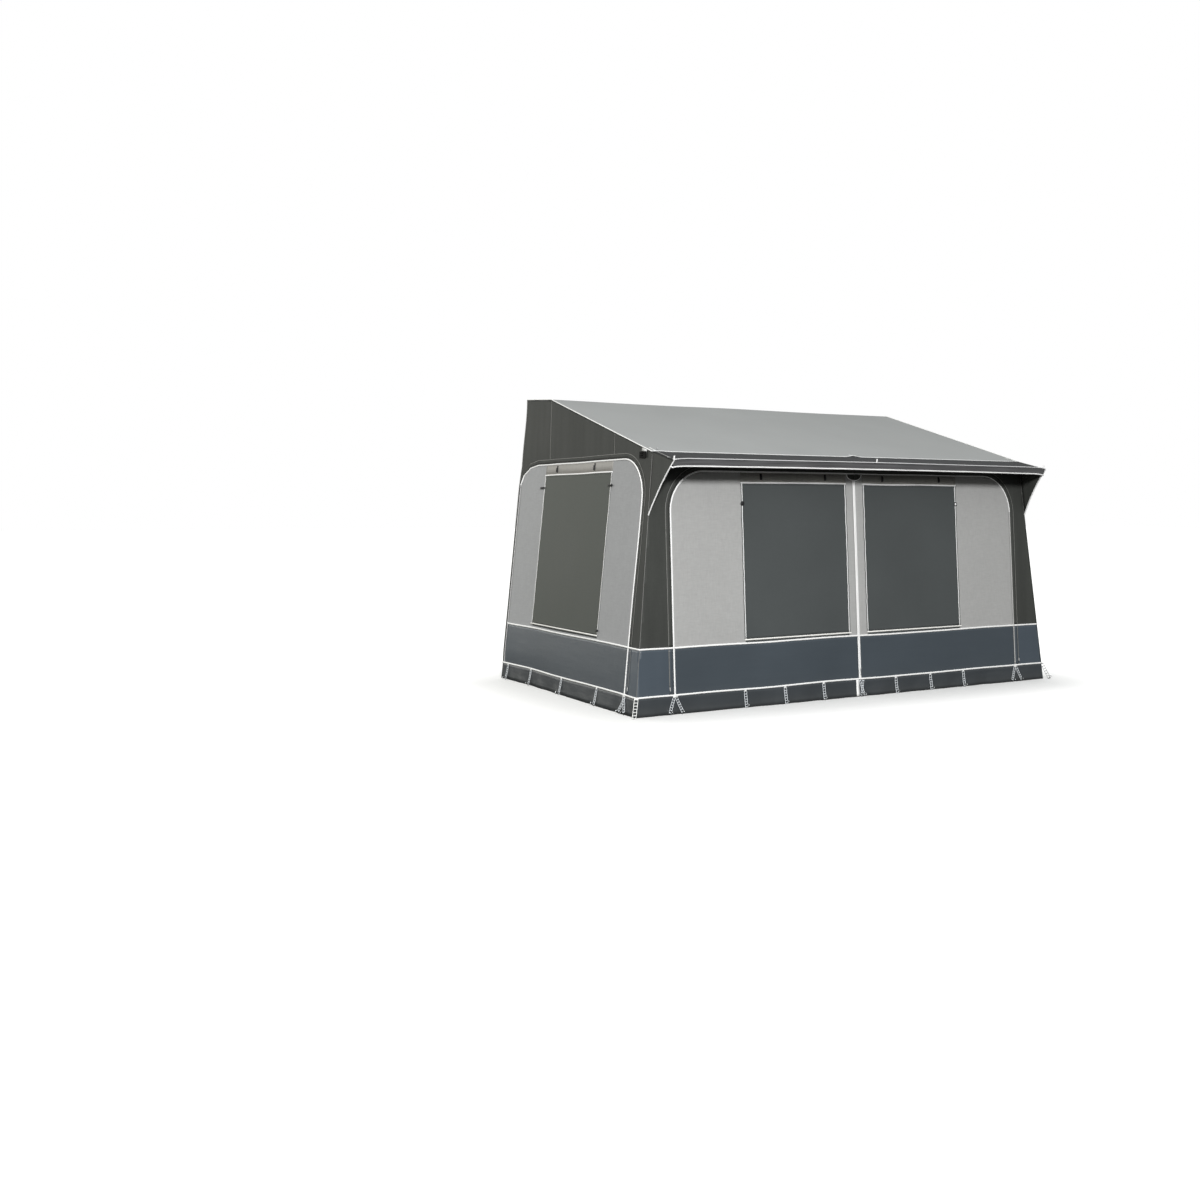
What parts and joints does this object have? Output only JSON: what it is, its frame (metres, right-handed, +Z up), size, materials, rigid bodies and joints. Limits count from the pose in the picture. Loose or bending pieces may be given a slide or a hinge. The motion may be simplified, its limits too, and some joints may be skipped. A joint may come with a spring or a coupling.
{
  "type": "caravan awning",
  "caption": "Caravan awning with a sloping roof and sun canopy, zipped front and side doors with roll-up window blinds, on telescopic legs and roof poles.",
  "frame": {"origin": "centre of the outline's base, on the ground, half way between the caravan's wall and the canopy's front edge", "axes": "+X to the right as seen from the front, -Y out from the caravan towards the front, +Z up; the caravan's wall is the plane y = +1.30 m"},
  "size_m": [4.469, 2.6, 2.5953],
  "materials": {
    "roof_cloth": "woven, lightly coated",
    "canopy_cloth": "woven, lightly coated",
    "dark_cloth": "woven, matt",
    "light_cloth": "woven with a fine heather",
    "blind_cloth": "woven, matt",
    "band_pvc": "coated, satin",
    "flap_pvc": "coated, satin",
    "window_foil": "clear film",
    "white_trim": "satin",
    "steel": "zinc-plated tube",
    "clamp_plastic": "moulded"
  },
  "bodies": {
    "tent": {"roof_panel": "roof_cloth", "rail_bead": "white_trim", "canopy_panel": "canopy_cloth", "canopy_valance": "canopy_cloth", "canopy_wing_left": "dark_cloth", "canopy_wing_right": "dark_cloth", "gable_left": "dark_cloth", "gable_right": "dark_cloth", "corner_left": "dark_cloth", "corner_right": "dark_cloth", "corner_band_left": "band_pvc", "corner_band_right": "band_pvc", "front_header": "dark_cloth", "mud_flap": "flap_pvc", "leg_sleeve_left": "steel", "leg_sleeve_centre": "steel", "leg_sleeve_right": "steel", "front_pole_left": "steel", "front_pole_right": "steel", "roof_pole_left": "steel", "roof_pole_centre": "steel", "roof_pole_right": "steel", "wall_bracket_left": "clamp_plastic", "wall_bracket_centre": "clamp_plastic", "wall_bracket_right": "clamp_plastic", "canopy_socket_left": "steel", "canopy_socket_centre": "steel", "canopy_socket_right": "steel"},
    "front_left_door": {"front_left_panel": "light_cloth", "front_left_band": "band_pvc", "front_left_window": "window_foil", "front_left_blind": "blind_cloth"},
    "front_right_door": {"front_right_panel": "light_cloth", "front_right_band": "band_pvc", "front_right_window": "window_foil", "front_right_blind": "blind_cloth"},
    "side_left_door": {"side_left_panel": "light_cloth", "side_left_band": "band_pvc", "side_left_window": "window_foil", "side_left_blind": "blind_cloth"},
    "side_right_door": {"side_right_panel": "light_cloth", "side_right_band": "band_pvc", "side_right_window": "window_foil", "side_right_blind": "blind_cloth"},
    "front_left_hem": {"front_left_hem_bar": "white_trim"},
    "front_right_hem": {"front_right_hem_bar": "white_trim"},
    "side_left_hem": {"side_left_hem_bar": "white_trim"},
    "side_right_hem": {"side_right_hem_bar": "white_trim"},
    "leg_lower_left": {"leg_lower_left": "steel"},
    "leg_lower_centre": {"leg_lower_centre": "steel"},
    "leg_lower_right": {"leg_lower_right": "steel"},
    "leg_lever_left": {"leg_lever_left": "clamp_plastic"},
    "leg_lever_centre": {"leg_lever_centre": "clamp_plastic"},
    "leg_lever_right": {"leg_lever_right": "clamp_plastic"},
    "roof_tail_left": {"roof_pole_tail_left": "steel"},
    "roof_tail_centre": {"roof_pole_tail_centre": "steel"},
    "roof_tail_right": {"roof_pole_tail_right": "steel"},
    "canopy_frame": {"canopy_bar": "steel"},
    "zip_slider": {"zip_slider": "steel"}
  },
  "joints": [
    {"name": "front_left_door_swing", "type": "hinge", "parent": "tent", "child": "front_left_door", "pos_m": [-1.82, -1.0827, 0.146], "axis": [0, -0.0499, -0.9988], "range_deg": [0, 90]},
    {"name": "front_right_door_swing", "type": "hinge", "parent": "tent", "child": "front_right_door", "pos_m": [1.82, -1.0827, 0.146], "axis": [0, 0.0499, 0.9988], "range_deg": [0, 90]},
    {"name": "side_left_door_swing", "type": "hinge", "parent": "tent", "child": "side_left_door", "pos_m": [-2.15967, -0.9, 0.146], "axis": [0.1044, 0, 0.9945], "range_deg": [0, 90]},
    {"name": "side_right_door_swing", "type": "hinge", "parent": "tent", "child": "side_right_door", "pos_m": [2.15967, -0.9, 0.146], "axis": [0.1044, 0, -0.9945], "range_deg": [0, 90]},
    {"name": "front_left_blind_roll", "type": "slide", "parent": "front_left_door", "child": "front_left_hem", "axis": [0, 0.0499, 0.9988], "range_m": [0, 1.15], "deforming": ["front_left_blind"]},
    {"name": "front_right_blind_roll", "type": "slide", "parent": "front_right_door", "child": "front_right_hem", "axis": [0, 0.0499, 0.9988], "range_m": [0, 1.15], "deforming": ["front_right_blind"]},
    {"name": "side_left_blind_roll", "type": "slide", "parent": "side_left_door", "child": "side_left_hem", "axis": [0.1044, 0, 0.9945], "range_m": [0, 1.2], "deforming": ["side_left_blind"]},
    {"name": "side_right_blind_roll", "type": "slide", "parent": "side_right_door", "child": "side_right_hem", "axis": [-0.1044, 0, 0.9945], "range_m": [0, 1.2], "deforming": ["side_right_blind"]},
    {"name": "leg_left_slide", "type": "slide", "parent": "tent", "child": "leg_lower_left", "axis": [0, 0, 1], "range_m": [0, 0.25]},
    {"name": "leg_centre_slide", "type": "slide", "parent": "tent", "child": "leg_lower_centre", "axis": [0, 0, 1], "range_m": [0, 0.25]},
    {"name": "leg_right_slide", "type": "slide", "parent": "tent", "child": "leg_lower_right", "axis": [0, 0, 1], "range_m": [0, 0.25]},
    {"name": "leg_left_clamp", "type": "hinge", "parent": "tent", "child": "leg_lever_left", "pos_m": [-1.9, -0.9135, 0.975], "axis": [0, 0, 1], "range_deg": [0, 90]},
    {"name": "leg_centre_clamp", "type": "hinge", "parent": "tent", "child": "leg_lever_centre", "pos_m": [0, -0.9135, 0.975], "axis": [0, 0, 1], "range_deg": [0, 90]},
    {"name": "leg_right_clamp", "type": "hinge", "parent": "tent", "child": "leg_lever_right", "pos_m": [1.9, -0.9135, 0.975], "axis": [0, 0, 1], "range_deg": [0, 90]},
    {"name": "roof_pole_left_slide", "type": "slide", "parent": "tent", "child": "roof_tail_left", "axis": [0, -0.9552, -0.2958], "range_m": [0, 0.15]},
    {"name": "roof_pole_centre_slide", "type": "slide", "parent": "tent", "child": "roof_tail_centre", "axis": [0, -0.9552, -0.2958], "range_m": [0, 0.15]},
    {"name": "roof_pole_right_slide", "type": "slide", "parent": "tent", "child": "roof_tail_right", "axis": [0, -0.9552, -0.2958], "range_m": [0, 0.15]},
    {"name": "canopy_frame_slide", "type": "slide", "parent": "tent", "child": "canopy_frame", "axis": [0, 0.9787, 0.2052], "range_m": [0, 0.03]},
    {"name": "centre_zip_slide", "type": "slide", "parent": "front_right_door", "child": "zip_slider", "axis": [0, 0.0499, 0.9988], "range_m": [0, 1.6]}
  ]
}
